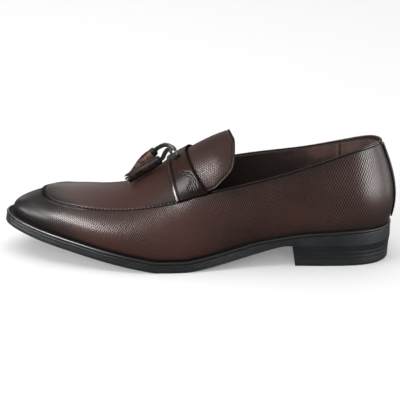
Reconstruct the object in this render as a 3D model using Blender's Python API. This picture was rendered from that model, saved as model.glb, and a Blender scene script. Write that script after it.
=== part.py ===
"""Tassel loafer, the left shoe, empty and standing on its sole.

Sizes are millimetres. A place on the shoe has three measures: "along" from the back of the
heel towards the toe, "across" from the lateral side (negative) to the medial side, and "up"
from the floor. to_world turns them into metres: toe to -X, medial side to +Y, +Z up.
"""
import bmesh
import bpy
import numpy as np

for old in list(bpy.data.objects):
    bpy.data.objects.remove(old, do_unlink=True)

# Driving sizes
MM = 0.001
GAP = 0.3
WALL = 2.0
TOE_TIP = 307.0
TOE_SPRING = 21.8
TREAD_BACK = 160.0
TREAD_FRONT = 184.0
SOLE_EDGE = 8.9
SEAT_EXTRA = 3.4
SEAT_FRONT, SEAT_BACK = 95.0, 20.0
WAIST_THINNING = 1.7
WAIST_MIDDLE, WAIST_LENGTH = 88.0, 12.0
WAIST_RISE = 18.6
HEEL_HEIGHT = 16.6
HEEL_BREAST = 80.5
BREAST_LEAN = 2.5
BREAST_HOLLOW = 2.4
TOP_PIECE = 5.5
WELT_THICKNESS = 2.2
WELT_WIDTH = 6.0
INSOLE_THICKNESS = 3.0
SEAM_HEIGHT = 1.1
STRAP_THICKNESS = 1.6
TONGUE_THICKNESS = 2.0
STRIP_THICKNESS = 1.2
STRIP_HALF = 0.25
BINDING_BACK = 1.3
BINDING_SIDE = 0.75
BINDING_LIFT = 0.25
LACE_RADIUS = 1.2
LACE_SEAT = 12.6

# One row for each section round the shoe: heel back, lateral side, toe, medial side.
# feather: where the upper meets the welt. top: apron seam in front, collar edge behind.
# flare, rise: the wall's lower pull, outwards and up. crown, drop: its upper pull, outwards
# and down. welt: how far the sole reaches past the feather.
F_ALONG, F_ACROSS, T_ALONG, T_ACROSS, T_UP, FLARE, RISE, CROWN, DROP, WELT = range(10)
SECTIONS = np.array([
    (5.3, 0.0, 13.2, 0.0, 90.8, 6.5, 20, 10.5, 25, 1.3),
    (12.5, -19.0, 18.6, -13.5, 90.8, 6.5, 20, 9.5, 25, 1.3),
    (34.0, -29.5, 37.0, -25.0, 87.5, 6.0, 20, 8.5, 24, 1.5),
    (70.0, -32.0, 73.0, -30.0, 76.1, 5.0, 18, 6.0, 19, 1.5),
    (105.0, -34.2, 109.0, -32.2, 65.8, 4.0, 16, 6.0, 16, 1.6),
    (140.0, -42.8, 145.0, -34.5, 57.4, 4.0, 15, 9.0, 16, 2.6),
    (168.0, -48.5, 168.0, -34.3, 50.6, 4.0, 14, 12.0, 13, 3.3),
    (194.0, -49.3, 192.0, -32.5, 45.2, 4.0, 13, 14.0, 10, 3.6),
    (222.0, -44.5, 217.0, -29.0, 42.2, 3.5, 11, 12.0, 7, 3.8),
    (250.0, -34.8, 241.0, -24.5, 42.0, 3.0, 9, 9.5, 5, 3.9),
    (272.0, -25.2, 259.5, -18.0, 43.3, 2.5, 8, 10.0, 4.5, 4.1),
    (291.0, -11.0, 272.5, -8.5, 45.3, 2.3, 8, 11.2, 3.5, 4.7),
    (301.7, 6.4, 275.3, 3.8, 47.7, 2.0, 8, 17.0, 4.8, 5.2),
    (294.8, 23.5, 273.6, 16.0, 46.7, 2.3, 8, 11.4, 5.8, 4.5),
    (278.5, 33.8, 260.0, 23.0, 47.1, 2.5, 9, 10.6, 4.5, 4.1),
    (253.0, 41.5, 241.0, 27.5, 44.9, 3.0, 10, 11.0, 6, 3.9),
    (222.0, 45.5, 217.0, 31.0, 45.4, 3.0, 13, 11.0, 8, 3.8),
    (194.0, 43.8, 192.0, 33.0, 49.5, 3.0, 16, 9.0, 13, 3.6),
    (168.0, 36.5, 169.0, 34.0, 56.5, 4.0, 18, 7.0, 17, 3.3),
    (140.0, 27.5, 147.0, 33.5, 63.6, 5.0, 19, 5.0, 20, 2.6),
    (105.0, 23.8, 109.0, 32.0, 70.9, 6.0, 20, 4.0, 21, 1.8),
    (70.0, 28.2, 73.0, 30.2, 76.3, 6.0, 20, 5.0, 22, 1.5),
    (34.0, 29.5, 37.0, 25.5, 84.2, 6.0, 20, 8.5, 24, 1.5),
    (12.5, 19.0, 18.6, 13.5, 89.6, 6.5, 20, 9.5, 25, 1.3),
])
ROUND = len(SECTIONS)
TOE_ROW = 12
THROAT_ROWS = 7
THROAT_ROW = TOE_ROW - THROAT_ROWS

# Crest of the apron, a row for each section back from the toe seam: along, across, up.
CREST = np.array([
    (275.3, 3.8, 47.7),
    (270.0, 3.5, 50.6),
    (259.7, 3.0, 50.1),
    (242.0, 2.5, 50.9),
    (217.5, 2.5, 49.9),
    (199.0, 2.5, 57.4),
    (179.0, 3.0, 71.2),
    (162.8, 3.0, 81.2),
])
CREST_ROUNDNESS = 0.22

# Tongue, a row for each section from its root under the strap to its free end: lateral edge,
# crest and medial edge, each along, across, up.
TONGUE = np.array([
    (155.0, -30.8, 56.5, 169.4, 3.0, 76.8, 157.0, 29.8, 61.5),
    (147.0, -31.0, 58.6, 162.4, 3.0, 81.2, 148.5, 30.4, 65.0),
    (139.1, -30.6, 62.0, 154.2, 3.0, 86.0, 140.5, 31.0, 68.6),
    (131.8, -28.6, 69.1, 146.5, 3.0, 90.4, 133.0, 30.5, 72.8),
    (123.2, -25.3, 75.2, 138.5, 3.0, 94.0, 129.0, 28.5, 77.6),
    (120.1, -18.5, 85.6, 129.5, 3.0, 97.6, 128.0, 22.0, 85.0),
])
TONGUE_CORNER, TONGUE_ROUNDING = 0.3, 2.2
APRON_END = 6.5
STRAP_FRONT, STRAP_BACK = 6.08, 7.04
STRAP_END, STRAP_SWEEP = 0.006, 0.09

# Tassels. Outline: share of the length, radius of the lateral and of the medial tassel.
SHARE, LATERAL, MEDIAL = range(3)
TASSEL_OUTLINE = np.array([
    (0.0, 2.6, 2.5),
    (0.03, 3.3, 3.2),
    (0.12, 3.7, 3.6),
    (0.23, 4.0, 4.4),
    (0.37, 4.15, 4.8),
    (0.53, 4.15, 4.5),
    (0.7, 4.1, 3.7),
    (0.87, 4.0, 2.8),
    (0.98, 3.9, 2.4),
])
# Head, where the lace goes in, middle of the free end, and column of the outline.
TASSELS = {
    "lateral": ((182.9, -1.0, 74.9), (209.7, 2.5, 57.1), LATERAL),
    "medial": ((187.7, 11.5, 78.5), (207.9, 12.0, 57.3), MEDIAL),
}
BORE_DEPTH, BORE_RADIUS = 13.2, 1.8
TASSEL_NECK = 3.6
TASSEL_STRIPS = 9
STRIP_RELIEF = 0.25
FRAYED = 0.7
# Free stretch of each lace between the strap and the tassel's head, and where it starts.
LACES = {
    "lateral": ((6.49, 0.408), [(174.5, -5.0, 82.0), (175.8, -5.0, 84.7), (179.3, -3.2, 80.7)]),
    "medial": ((6.64, 0.418), [(171.4, -1.5, 82.3), (175.3, 1.5, 84.7), (180.3, 6.5, 84.2),
                               (184.4, 9.5, 81.6)]),
}


# Curves and surfaces of the last

def spline_weights(fraction):
    """Weights of the four control points round a place on a uniform cubic spline."""
    f = fraction[..., None]
    return (
        (1 - f) ** 3 / 6,
        (3 * f**3 - 6 * f**2 + 4) / 6,
        (-3 * f**3 + 3 * f**2 + 3 * f + 1) / 6,
        f**3 / 6,
    )


def closed_curve(rows, at):
    """Smooth loop through the rows, read at row numbers that may lie between two rows."""
    count = len(rows)
    blend = np.eye(count) * 4 + np.roll(np.eye(count), 1, 0) + np.roll(np.eye(count), -1, 0)
    control = np.linalg.solve(blend / 6, rows)
    first = np.floor(at).astype(int)
    weights = spline_weights(at - first)
    return sum(w * control[(first + k - 1) % count] for k, w in enumerate(weights))


def open_curve(rows, at):
    """Smooth curve from the first row to the last, read at row numbers between them."""
    count = len(rows)
    blend = np.zeros((count + 2, count + 2))
    wanted = np.zeros((count + 2, rows.shape[1]))
    blend[0, :3] = blend[-1, -3:] = (1, -2, 1)
    for i in range(count):
        blend[i + 1, i:i + 3] = (1 / 6, 4 / 6, 1 / 6)
    wanted[1:-1] = rows
    control = np.linalg.solve(blend, wanted)
    first = np.clip(np.floor(at).astype(int), 0, count - 2)
    weights = spline_weights(at - first)
    return sum(w * control[first + k] for k, w in enumerate(weights))


def cubic(p0, p1, p2, p3, t):
    """Point at t on the cubic curve from p0 to p3 with pulls p1 and p2."""
    t = t[..., None]
    s = 1 - t
    return s**3 * p0 + 3 * s**2 * t * p1 + 3 * s * t**2 * p2 + t**3 * p3


def ease(t):
    """Smooth step from 0 to 1."""
    t = np.clip(t, 0, 1)
    return t * t * (3 - 2 * t)


def tread(along):
    """Height of the sole's underside: level seat over the heel, arch, flat tread, toe spring."""
    toe_part = np.clip((along - TREAD_FRONT) / (TOE_TIP - TREAD_FRONT), 0, None)
    waist_part = np.clip((TREAD_BACK - along) / (TREAD_BACK - HEEL_BREAST), 0, None)
    waist = WAIST_RISE * waist_part**1.25
    arch = -np.log(np.exp(-2 * waist) + np.exp(-2 * HEEL_HEIGHT)) / 2
    return TOE_SPRING * toe_part**1.05 + np.where(along < TREAD_BACK, np.maximum(arch, 0), 0)


def sole_depth(along):
    """Thickness of the sole at its edge: thinner at the waist, a wedge over the heel."""
    waist = np.exp(-(((along - WAIST_MIDDLE) / WAIST_LENGTH) ** 2))
    seat = ease((SEAT_FRONT - along) / (SEAT_FRONT - SEAT_BACK))
    return SOLE_EDGE - WAIST_THINNING * waist + SEAT_EXTRA * seat


def on_sole(plan, lift):
    """Point at a lift above the tread, square to it, for places (along, across) on the tread."""
    along = plan[..., 0]
    slope = tread(along + 0.5) - tread(along - 0.5)
    stretch = lift / np.sqrt(1 + slope**2)
    return np.stack([along - slope * stretch, plan[..., 1], tread(along) + stretch], -1)


def outward_way(at):
    """Unit direction away from the foot, level, square to the feather line."""
    step = 0.001
    way = closed_curve(SECTIONS[:, :2], at + step) - closed_curve(SECTIONS[:, :2], at - step)
    way = np.stack([way[..., 1], -way[..., 0]], -1)
    return way / np.linalg.norm(way, axis=-1, keepdims=True)


def plan_loop(at, outward):
    """Feather line seen from above, moved outwards (or inwards, when negative)."""
    row = closed_curve(SECTIONS, at)
    return row[..., :2] + np.asarray(outward)[..., None] * outward_way(at)


def sole_loop(at, inset, drop=None, lift=None):
    """Loop on the sole, inset from its edge, at a drop below its top or a lift above its tread."""
    plan = plan_loop(at, closed_curve(SECTIONS, at)[..., WELT] - inset)
    height = np.full(at.shape, lift) if drop is None else sole_depth(plan[..., 0]) - drop
    return on_sole(plan, height)


def wall(at, t):
    """Side of the upper: section row at, t from the feather (0) to the top edge (1)."""
    row = closed_curve(SECTIONS, at)
    out = np.concatenate([outward_way(at), np.zeros(at.shape + (1,))], -1)
    up = np.array([0.0, 0.0, 1.0])
    foot = on_sole(row[..., :2], sole_depth(row[..., F_ALONG]) + GAP)
    top = row[..., [T_ALONG, T_ACROSS, T_UP]]
    low = foot + row[..., [FLARE]] * out + row[..., [RISE]] * up
    high = top + row[..., [CROWN]] * out - row[..., [DROP]] * up
    return cubic(foot, low, high, top, t)


def arch_over(left, crest, right, r):
    """Arch from the left edge over the crest to the right edge, r from 0 to 1."""
    pull = (crest - (left + right) / 2) * 4 / 3
    lean = CREST_ROUNDNESS * (right - left)
    return cubic(left, left + pull + lean, right + pull - lean, right, r)


def apron(k, r):
    """Top of the foot: k rows back from the toe seam, r from the lateral to the medial seam."""
    edge = np.ones_like(k)
    return arch_over(wall(TOE_ROW - k, edge), open_curve(CREST, k), wall(TOE_ROW + k, edge), r)


def tongue(j, r):
    """Tongue: j rows from its root, r from its lateral to its medial edge; round at its end."""
    row = open_curve(TONGUE, j)
    near_end = np.clip((j - len(TONGUE) + 1 + TONGUE_ROUNDING) / TONGUE_ROUNDING, 0, 1)
    corner = TONGUE_CORNER * (1 - np.sqrt(1 - near_end**2))
    return arch_over(row[..., 0:3], row[..., 3:6], row[..., 6:9], corner + (1 - 2 * corner) * r)


def lifted(surface, u, v, height):
    """Points of a surface moved square to it, away from the foot."""
    step = 0.002
    du = surface(u + step, v) - surface(u - step, v)
    dv = surface(u, v + step) - surface(u, v - step)
    normal = np.cross(du, dv)
    normal /= np.linalg.norm(normal, axis=-1, keepdims=True)
    point = surface(u, v)
    inside = np.array([150.0, 0.0, 20.0])
    side = np.sign(np.sum(normal * (point - inside), -1, keepdims=True))
    return point + height * side * normal


# The part's frame: middle of the length and of the width, over the floor.
RING = np.linspace(0, ROUND, 960, endpoint=False)
EDGE = sole_loop(RING, -GAP, drop=WELT_THICKNESS)
HEEL_LINE = lifted(wall, np.zeros(60), np.linspace(0.1, 0.9, 60), GAP + STRIP_THICKNESS)
TREAD_LINE = sole_loop(RING, 0.0, lift=1.0)
MID_ALONG = (HEEL_LINE[:, 0].min() + TREAD_LINE[:, 0].max()) / 2
MID_ACROSS = (EDGE[:, 1].min() + EDGE[:, 1].max()) / 2


def to_world(points):
    """Shoe measures in millimetres to metres in the part's frame."""
    points = np.asarray(points, float)
    shifted = [MID_ALONG - points[..., 0], points[..., 1] - MID_ACROSS, points[..., 2]]
    return np.stack(shifted, -1) * MM


# Building solids

def paint(name, colour, roughness):
    """Principled material of one piece."""
    material = bpy.data.materials.new(name)
    material.use_nodes = True
    shader = material.node_tree.nodes["Principled BSDF"]
    shader.inputs["Base Color"].default_value = (*colour, 1.0)
    shader.inputs["Roughness"].default_value = roughness
    shader.inputs["Metallic"].default_value = 0.0
    return material


def add_piece(name, points, faces, material, outward_from=None, thickness=0.0):
    """Object from points and faces; an open surface is given its thickness on the inside."""
    mesh = bpy.data.meshes.new(name)
    mesh.from_pydata(to_world(points).tolist(), [], faces)
    shape = bmesh.new()
    shape.from_mesh(mesh)
    bmesh.ops.recalc_face_normals(shape, faces=shape.faces)
    if outward_from is not None:
        centre = to_world(outward_from)
        facing = sum(
            f.calc_area() * float(np.dot(f.normal, np.array(f.calc_center_median()) - centre))
            for f in shape.faces
        )
        if facing < 0:
            bmesh.ops.reverse_faces(shape, faces=shape.faces)
    shape.to_mesh(mesh)
    shape.free()
    mesh.materials.append(material)
    mesh.shade_smooth()
    mesh.set_sharp_from_angle(angle=np.radians(40))
    piece = bpy.data.objects.new(name, mesh)
    bpy.context.collection.objects.link(piece)
    if thickness:
        solid = piece.modifiers.new("thickness", "SOLIDIFY")
        solid.thickness = thickness * MM
        solid.offset = -1
        solid.use_even_offset = True
        solid.use_quality_normals = True
    return piece


def grid_faces(rows, columns, first=0):
    """Quads of a grid of points stored row after row."""
    return [
        (first + i * columns + j, first + i * columns + j + 1,
         first + (i + 1) * columns + j + 1, first + (i + 1) * columns + j)
        for i in range(rows - 1) for j in range(columns - 1)
    ]


def sheet_piece(name, surface, u, v, height, thickness, material):
    """Sheet of even thickness whose outer face lies a height off a surface, over u by v."""
    grid_u, grid_v = np.meshgrid(u, v, indexing="ij")
    points = lifted(surface, grid_u, grid_v, height).reshape(-1, 3)
    inside = (150.0, 0.0, 20.0)
    return add_piece(name, points, grid_faces(len(u), len(v)), material, inside, thickness)


def band_faces(loops, count, cyclic=False):
    """Quads between stacked closed loops of count points each."""
    last = loops if cyclic else loops - 1
    return [
        (i * count + j, i * count + (j + 1) % count,
         (i + 1) % loops * count + (j + 1) % count, (i + 1) % loops * count + j)
        for i in range(last) for j in range(count)
    ]


def cap_faces(first, count):
    """Faces that close a loop round the foot, from its lateral to its medial side."""
    faces = [(first, first + 1, first + count - 1)]
    for i in range(1, count // 2 - 1):
        faces.append((first + i, first + i + 1, first + count - i - 1, first + count - i))
    toe = count // 2
    faces.append((first + toe - 1, first + toe, first + toe + 1))
    return faces


def plate_piece(name, loops, material):
    """Closed solid of stacked loops round the foot, capped below and above."""
    count = len(loops[0])
    faces = band_faces(len(loops), count)
    faces += cap_faces(0, count) + cap_faces((len(loops) - 1) * count, count)
    return add_piece(name, np.concatenate(loops), faces, material)


# Sole, welt and heel
BLACK_RUBBER = paint("sole rubber", (0.017, 0.018, 0.020), 0.55)
AROUND = np.arange(0, ROUND, 0.25)


def make_outsole():
    """Sole with a bevelled tread edge and a ledge that the welt lies on."""
    below_welt = WELT_THICKNESS + GAP
    loops = [
        sole_loop(AROUND, 1.0, lift=0.0),
        sole_loop(AROUND, 0.0, lift=1.0),
        sole_loop(AROUND, 0.0, drop=below_welt),
        sole_loop(AROUND, WELT_WIDTH, drop=below_welt),
        sole_loop(AROUND, WELT_WIDTH, drop=0.0),
    ]
    return plate_piece("outsole", loops, BLACK_RUBBER)


def make_welt():
    """Flat strip round the top edge of the sole, its outer edge rounded."""
    inner = WELT_WIDTH - GAP
    loops = [
        sole_loop(AROUND, 0.3, drop=WELT_THICKNESS),
        sole_loop(AROUND, -GAP, drop=0.6 * WELT_THICKNESS),
        sole_loop(AROUND, 0.3, drop=0.0),
        sole_loop(AROUND, inner, drop=0.0),
        sole_loop(AROUND, inner, drop=WELT_THICKNESS),
    ]
    faces = band_faces(len(loops), len(AROUND), cyclic=True)
    return add_piece("welt", np.concatenate(loops), faces, BLACK_RUBBER)


def heel_loop(inset, breast, count=30):
    """Outline of the heel seen from above: the sole's edge, closed by a hollow breast line."""
    at = np.linspace(-3.8, 3.8, 400)
    edge = plan_loop(at, closed_curve(SECTIONS, at)[..., WELT] - inset)
    lateral = np.interp(breast, edge[200:, 0], at[200:])
    medial = np.interp(breast, edge[:200][::-1, 0], at[:200][::-1])
    rim_at = np.linspace(lateral, medial, count)
    rim = plan_loop(rim_at, closed_curve(SECTIONS, rim_at)[..., WELT] - inset)
    part = np.linspace(0, 1, 8)[1:-1, None]
    front = rim[-1] + part * (rim[0] - rim[-1])
    front[:, 0] -= BREAST_HOLLOW * 4 * (part * (1 - part))[:, 0]
    return np.concatenate([rim, front])


def heel_piece(name, levels, material):
    """Solid of the heel's outline at rising levels: share of the height, inset, height."""
    loops = []
    for share, inset, height in levels:
        plan = heel_loop(inset, HEEL_BREAST - BREAST_LEAN * (1 - share))
        up = tread(plan[:, 0]) - GAP if height is None else np.full(len(plan), height)
        loops.append(np.column_stack([plan, up]))
    count = len(loops[0])
    faces = band_faces(len(loops), count)
    faces += [tuple(range(count)), tuple(range((len(loops) - 1) * count, len(loops) * count))]
    return add_piece(name, np.concatenate(loops), faces, material)


def make_heel():
    """Heel block under the seat and the top piece that it stands on."""
    lift = TOP_PIECE / HEEL_HEIGHT
    heel_piece("heel_top_piece", [
        (0.0, 2.2, 0.0), (0.05, 1.5, 0.8), (lift, 1.2, TOP_PIECE),
    ], paint("top piece rubber", (0.020, 0.021, 0.023), 0.6))
    heel_piece("heel_stack", [
        (lift, 1.2, TOP_PIECE + GAP), (0.7, 0.8, 0.7 * HEEL_HEIGHT), (1.0, 0.4, None),
    ], paint("heel stack", (0.015, 0.016, 0.018), 0.45))


def make_insole():
    """Insole and sock inside the wall, on the sole."""
    side = -(WALL + 2 * GAP)
    loops = []
    for inset, lift in ((0.0, GAP), (0.0, INSOLE_THICKNESS - 0.8), (1.0, INSOLE_THICKNESS)):
        plan = plan_loop(AROUND, np.full(AROUND.shape, side - inset))
        loops.append(on_sole(plan, sole_depth(plan[:, 0]) + lift))
    return plate_piece("insole", loops, paint("sock leather", (0.060, 0.030, 0.022), 0.6))


# Upper, tongue and straps
BROWN_LEATHER = paint("embossed leather", (0.050, 0.026, 0.021), 0.42)
SMOOTH_LEATHER = paint("smooth leather", (0.032, 0.018, 0.016), 0.25)


def make_upper():
    """Wall of the upper and its apron as one surface with a raised seam, given its thickness."""
    seam_margin = 0.05
    rise = np.array([0, 0.09, 0.22, 0.37, 0.53, 0.69, 0.84, 1 - seam_margin, 1])
    grid_at, grid_t = np.meshgrid(AROUND, rise, indexing="ij")
    columns = len(rise)
    points = wall(grid_at, grid_t)
    toe = int(np.flatnonzero(AROUND == TOE_ROW)[0])
    steps = int(APRON_END * 4)
    seam = np.arange(toe - steps, toe + steps + 1)
    proud = SEAM_HEIGHT * ease((steps - np.abs(seam - toe)) / 12)
    edge = np.ones(len(seam))
    outwards = lifted(wall, AROUND[seam], edge, 1.0) - wall(AROUND[seam], edge) + (0.0, 0.0, 1.0)
    outwards /= np.linalg.norm(outwards, axis=-1, keepdims=True)
    points[seam, -1] += proud[:, None] * outwards
    points = points.reshape(-1, 3)
    faces = []
    for i in range(len(AROUND)):
        n = (i + 1) % len(AROUND)
        for j in range(columns - 1):
            faces.append((i * columns + j, n * columns + j, n * columns + j + 1, i * columns + j + 1))
    across = np.array([0.025, 0.12, 0.24, 0.37, 0.5, 0.63, 0.76, 0.88, 0.975])
    back = np.arange(1, steps + 1) / 4
    grid_k, grid_r = np.meshgrid(back, across, indexing="ij")
    first = len(points)
    points = np.concatenate([points, apron(grid_k, grid_r).reshape(-1, 3)])

    def top(i):
        return i * columns + columns - 1

    def apron_row(step):
        inner = [first + (step - 1) * len(across) + c for c in range(len(across))]
        return [top(toe - step)] + inner + [top(toe + step)]

    front = apron_row(1)
    faces += [(top(toe), front[c], front[c + 1]) for c in range(len(front) - 1)]
    for step in range(1, steps):
        near, far = apron_row(step), apron_row(step + 1)
        faces += [(near[c], far[c], far[c + 1], near[c + 1]) for c in range(len(near) - 1)]
    return add_piece("upper", points, faces, BROWN_LEATHER, (150.0, 0.0, 20.0), WALL)


def make_tongue():
    """Tongue that stands up behind the strap, its edges free."""
    across = np.linspace(0, 1, 17)
    end = len(TONGUE) - 1
    bend = TONGUE_ROUNDING * (1 - np.sin(np.linspace(0, np.pi / 2, 8)))
    rows = np.concatenate([np.linspace(0, end - TONGUE_ROUNDING, 6)[:-1], end - bend])
    return sheet_piece("tongue", tongue, rows, across, 0.0, TONGUE_THICKNESS, BROWN_LEATHER)


def strap(k, r):
    """Apron under the strap: the front edge sweeps forward towards both ends, the back edge stays."""
    sweep = STRAP_SWEEP * (STRAP_BACK - k) / (STRAP_BACK - STRAP_FRONT)
    return apron(k - sweep * (2 * r - 1) ** 2, r)


def make_strap():
    """Saddle strap that lies over the end of the apron, from seam to seam."""
    rows = np.linspace(STRAP_FRONT, STRAP_BACK, 6)
    across = np.linspace(STRAP_END, 1 - STRAP_END, 25)
    height = GAP + STRAP_THICKNESS
    return sheet_piece("saddle_strap", strap, rows, across, height, STRAP_THICKNESS, SMOOTH_LEATHER)


def make_back_strip():
    """Narrow strip over the back seam, from the collar down to the welt."""
    rows = np.linspace(-STRIP_HALF, STRIP_HALF, 7)
    rise = np.linspace(0.06, 0.985, 13)
    height = GAP + STRIP_THICKNESS
    return sheet_piece("back_strip", wall, rows, rise, height, STRIP_THICKNESS, SMOOTH_LEATHER)


def tube(name, points, radius, material):
    """Round tube along a row of points, of one radius or one for each point, its ends closed."""
    curve = bpy.data.curves.new(name, "CURVE")
    curve.dimensions = "3D"
    curve.bevel_depth = MM
    curve.bevel_resolution = 2
    curve.use_fill_caps = True
    spline = curve.splines.new("POLY")
    spline.points.add(len(points) - 1)
    for place, point, reach in zip(spline.points, to_world(points), np.broadcast_to(radius, len(points))):
        place.co = (*point, 1.0)
        place.radius = reach
    curve.materials.append(material)
    piece = bpy.data.objects.new(name, curve)
    bpy.context.collection.objects.link(piece)
    return piece


def make_binding():
    """Rolled binding on the collar edge from throat to throat: thick round the heel, thin at the sides."""
    reach = THROAT_ROW - 0.1
    at = np.linspace(-reach, reach, 57)
    radius = BINDING_SIDE + (BINDING_BACK - BINDING_SIDE) * ease((3 - np.abs(at)) / 2)
    middle = lifted(wall, at, np.ones_like(at), -WALL / 2)
    middle[:, 2] += GAP + BINDING_LIFT + radius
    return tube("collar_binding", middle, radius, SMOOTH_LEATHER)


# Tassels and their laces

def tassel_axis(side):
    """Head of a tassel, the unit way down from it and its length."""
    head, end = (np.array(p) for p in TASSELS[side][:2])
    length = np.linalg.norm(end - head)
    return head, (end - head) / length, length


def make_tassel(side, material):
    """Tassel turned about its axis: bored head and a skirt of strips that spread below the neck."""
    head, way, length = tassel_axis(side)
    outline = TASSEL_OUTLINE[:, [SHARE, TASSELS[side][2]]]
    level = np.cross(way, (0.0, 0.0, 1.0))
    level /= np.linalg.norm(level)
    upright = np.cross(level, way)
    count = 3 * TASSEL_STRIPS
    turns = np.arange(count) * 2 * np.pi / count
    around = np.outer(np.cos(turns), level) + np.outer(np.sin(turns), upright)
    loops = [head + BORE_RADIUS * around + depth * way for depth in (BORE_DEPTH, 0.0)]
    for share, radius in outline:
        depth = share * length
        relief = STRIP_RELIEF * ease((depth - TASSEL_NECK) / 6) * np.cos(TASSEL_STRIPS * turns)
        down = depth + FRAYED * (share == outline[-1, SHARE]) * np.cos(3 * turns)
        loops.append(head + (radius + relief)[:, None] * around + np.outer(down, way))
    centres = [head + way * BORE_DEPTH, head + way * (length - 1.5)]
    points = np.concatenate([*loops, centres])
    bottom, end = len(points) - 2, len(points) - 1
    faces = band_faces(len(loops), count)
    last = (len(loops) - 1) * count
    faces += [(bottom, (j + 1) % count, j) for j in range(count)]
    faces += [(end, last + j, last + (j + 1) % count) for j in range(count)]
    return add_piece(f"tassel_{side}", points, faces, material)


def lace_route(side):
    """Centre line of a lace from the strap to its seat in the tassel."""
    (k, r), free = LACES[side]
    start = lifted(apron, np.array(k), np.array(r), 2 * GAP + STRAP_THICKNESS + LACE_RADIUS / 2)
    head, way, _ = tassel_axis(side)
    seat = [head + way * depth for depth in (-2.0, 2.0, 7.0, LACE_SEAT)]
    rows = np.array([start, *free, *seat])
    return open_curve(rows, np.linspace(0, len(rows) - 1, 18))


def make_tassels():
    """Both tassels with their laces."""
    lace_leather = paint("lace leather", (0.020, 0.017, 0.016), 0.35)
    for side, colour in (("lateral", (0.030, 0.017, 0.014)), ("medial", (0.070, 0.034, 0.022))):
        tube(f"tassel_lace_{side}", lace_route(side), LACE_RADIUS, lace_leather)
        make_tassel(side, paint(f"{side} tassel leather", colour, 0.4))


make_outsole()
make_welt()
make_heel()
make_insole()
make_upper()
make_tongue()
make_strap()
make_back_strip()
make_binding()
make_tassels()
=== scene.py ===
import bpy
import numpy as np
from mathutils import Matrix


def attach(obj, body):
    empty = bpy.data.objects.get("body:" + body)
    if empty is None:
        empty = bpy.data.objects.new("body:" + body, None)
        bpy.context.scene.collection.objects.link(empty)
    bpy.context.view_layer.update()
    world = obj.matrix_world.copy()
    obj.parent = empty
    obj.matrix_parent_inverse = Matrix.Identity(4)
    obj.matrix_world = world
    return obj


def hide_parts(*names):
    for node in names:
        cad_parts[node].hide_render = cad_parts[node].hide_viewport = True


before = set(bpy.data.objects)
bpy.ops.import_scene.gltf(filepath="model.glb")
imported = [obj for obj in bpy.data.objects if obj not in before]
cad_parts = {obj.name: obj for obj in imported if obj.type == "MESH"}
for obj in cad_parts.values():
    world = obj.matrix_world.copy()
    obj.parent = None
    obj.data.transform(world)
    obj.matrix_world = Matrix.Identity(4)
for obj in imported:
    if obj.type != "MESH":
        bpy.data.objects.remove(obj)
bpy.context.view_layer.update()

# Tassel loafer, the left shoe, standing empty. Shapes are worked out in millimetres: "along"
# from the back of the heel to the toe, "across" from the lateral side (negative) to the medial
# side, and "up" from the floor. Sections follow the order in which the shoe is put together.


# Outsole. A slab of black rubber cut to the outline of the last, with an arched waist and a toe
# that springs off the floor. Its edge is trimmed square, scored with one line and dressed black.
# Each row of its section is an inset at the toe and at the seat, a share of the depth and an offset.
ALONG, REACH = 0, 2
FEATHER = np.array([
    (5.3, 0.0, 1.3), (12.5, -19.0, 1.3), (34.0, -29.5, 1.5), (70.0, -32.0, 1.5),
    (105.0, -34.2, 1.6), (140.0, -42.8, 2.6), (168.0, -48.5, 3.3), (194.0, -49.3, 3.6),
    (222.0, -44.5, 3.8), (250.0, -34.8, 3.9), (272.0, -25.2, 4.1), (291.0, -11.0, 4.7),
    (301.7, 6.4, 5.2), (294.8, 23.5, 4.5), (278.5, 33.8, 4.1), (253.0, 41.5, 3.9),
    (222.0, 45.5, 3.8), (194.0, 43.8, 3.6), (168.0, 36.5, 3.3), (140.0, 27.5, 2.6),
    (105.0, 23.8, 1.8), (70.0, 28.2, 1.5), (34.0, 29.5, 1.5), (12.5, 19.0, 1.3),
])
ROUND = len(FEATHER)
MID_ALONG, MID_ACROSS = 153.6989, -1.8525
TOE_TIP, TOE_SPRING = 307.0, 21.8
TREAD_BACK, TREAD_FRONT = 160.0, 184.0
SOLE_EDGE, SEAT_EXTRA, SEAT_FRONT, SEAT_BACK = 8.9, 3.4, 95.0, 20.0
WAIST_THINNING, WAIST_MIDDLE, WAIST_LENGTH = 1.7, 88.0, 12.0
WAIST_RISE, HEEL_HEIGHT, HEEL_BREAST = 18.6, 16.6, 80.5
BLEND_BACK, BLEND_FRONT = 110.0, 200.0
MM, SHARP_EDGE = 0.001, np.radians(50)
SOLE_SIDE = [
    (9.0, 9.0, 0, 0.0), (1.5, 0.3, 0, 0.0), (0.8, 0.06, 0, 0.1), (0.3, 0.02, 0, 0.35), (0.0, 0.0, 0, 1.0),
    (0.0, 0.0, 0.5, -0.7), (0.1, 0.0, 0.5, -0.45), (0.1, 0.0, 0.5, -0.25), (0.0, 0.0, 0.5, 0.0),
    (0.0, 0.0, 1, -3.0), (0.15, 0.0, 1, -2.65), (0.45, 0.1, 1, -2.5), (6.0, 6.0, 1, -2.5), (6.0, 6.0, 1, 0.0),
    (12.0, 12.0, 1, 0.0),
]


def spline_weights(fraction):
    """Weights of the four control points round a place on a uniform cubic spline."""
    f = fraction[..., None]
    return ((1 - f) ** 3 / 6, (3 * f**3 - 6 * f**2 + 4) / 6,
            (-3 * f**3 + 3 * f**2 + 3 * f + 1) / 6, f**3 / 6)


def closed_curve(rows, at):
    """Smooth loop through the rows: cubic spline read at row numbers, the last row next to the first."""
    count = len(rows)
    blend = np.eye(count) * 4 + np.roll(np.eye(count), 1, 0) + np.roll(np.eye(count), -1, 0)
    control = np.linalg.solve(blend / 6, rows)
    first = np.floor(at).astype(int)
    weights = spline_weights(at - first)
    return sum(w * control[(first + k - 1) % count] for k, w in enumerate(weights))


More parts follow.
